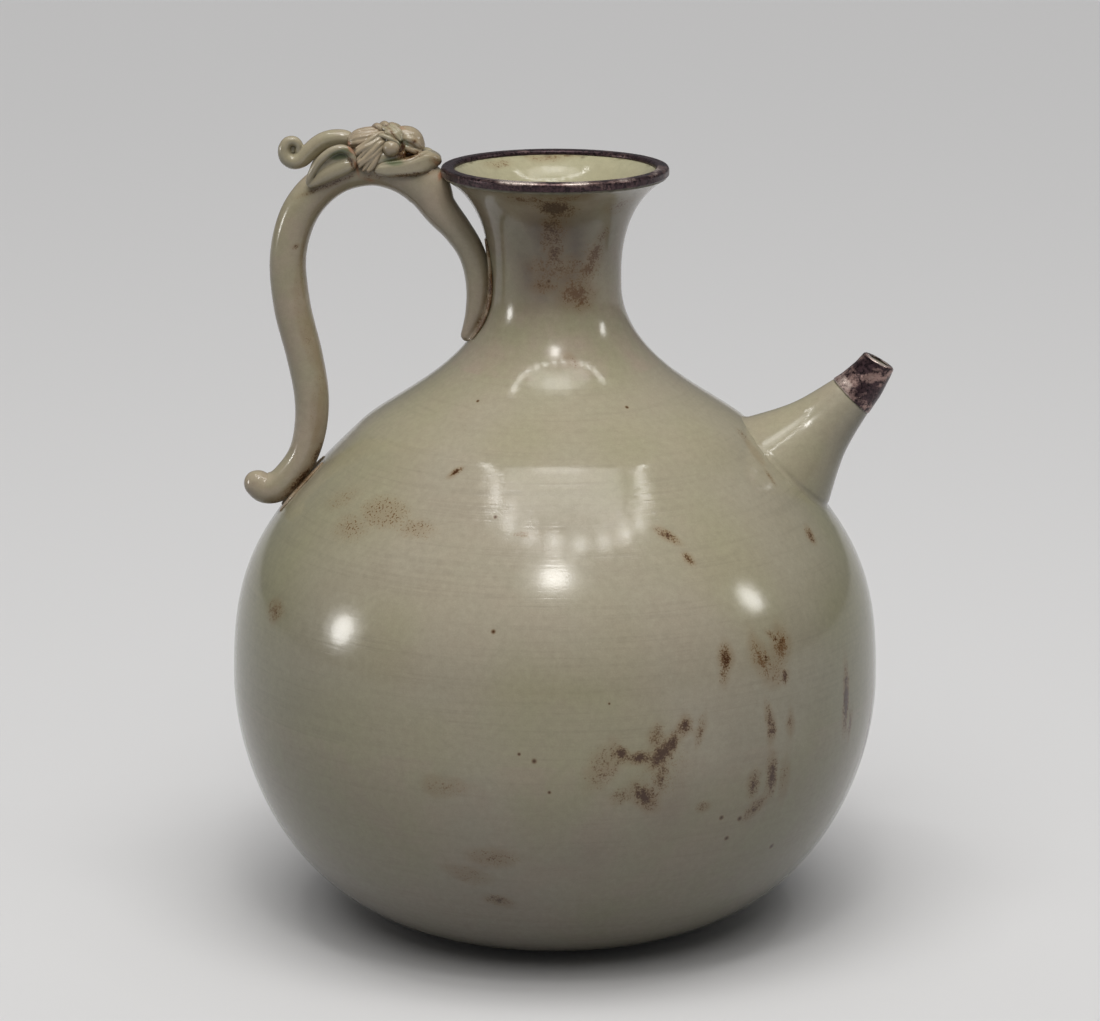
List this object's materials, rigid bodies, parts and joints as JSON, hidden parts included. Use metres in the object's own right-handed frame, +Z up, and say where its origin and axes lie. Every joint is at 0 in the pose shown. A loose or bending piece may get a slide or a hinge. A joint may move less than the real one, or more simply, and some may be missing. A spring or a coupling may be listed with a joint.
{
  "type": "ewer",
  "caption": "Round-bellied glazed stoneware ewer with a flared neck, a slanting cone spout, a tall looped handle ending in a dragon's head, and metal mounts on the rim and the spout's tip.",
  "frame": {"origin": "on the pot's axis, on the plane that the foot ring stands on", "axes": "+Z up along the pot's axis, +X towards the spout, the handle on the -X side, +Y away from the viewer of the picture"},
  "size_m": [0.257, 0.252, 0.3144],
  "materials": {
    "celadon_glaze": "glossy grey-green celadon glaze",
    "thin_glaze": "thin glaze over a pinkish body",
    "tarnished_metal": "thin tarnished silver or copper sheet"
  },
  "bodies": {
    "root": {"body_lower": "celadon_glaze", "body_upper": "celadon_glaze", "neck": "celadon_glaze", "rim_band": "tarnished_metal", "spout": "celadon_glaze", "spout_sleeve": "tarnished_metal", "handle": "celadon_glaze", "dragon_skull": "thin_glaze", "dragon_jaw": "celadon_glaze", "dragon_snout": "thin_glaze", "topknot": "thin_glaze", "crown_lobe": "thin_glaze", "horn": "celadon_glaze", "eye_near": "celadon_glaze", "brow_near": "celadon_glaze", "mane_tuft_near": "thin_glaze", "ear_near": "celadon_glaze", "eye_far": "celadon_glaze", "brow_far": "celadon_glaze", "mane_tuft_far": "thin_glaze", "ear_far": "celadon_glaze"}
  },
  "joints": []
}
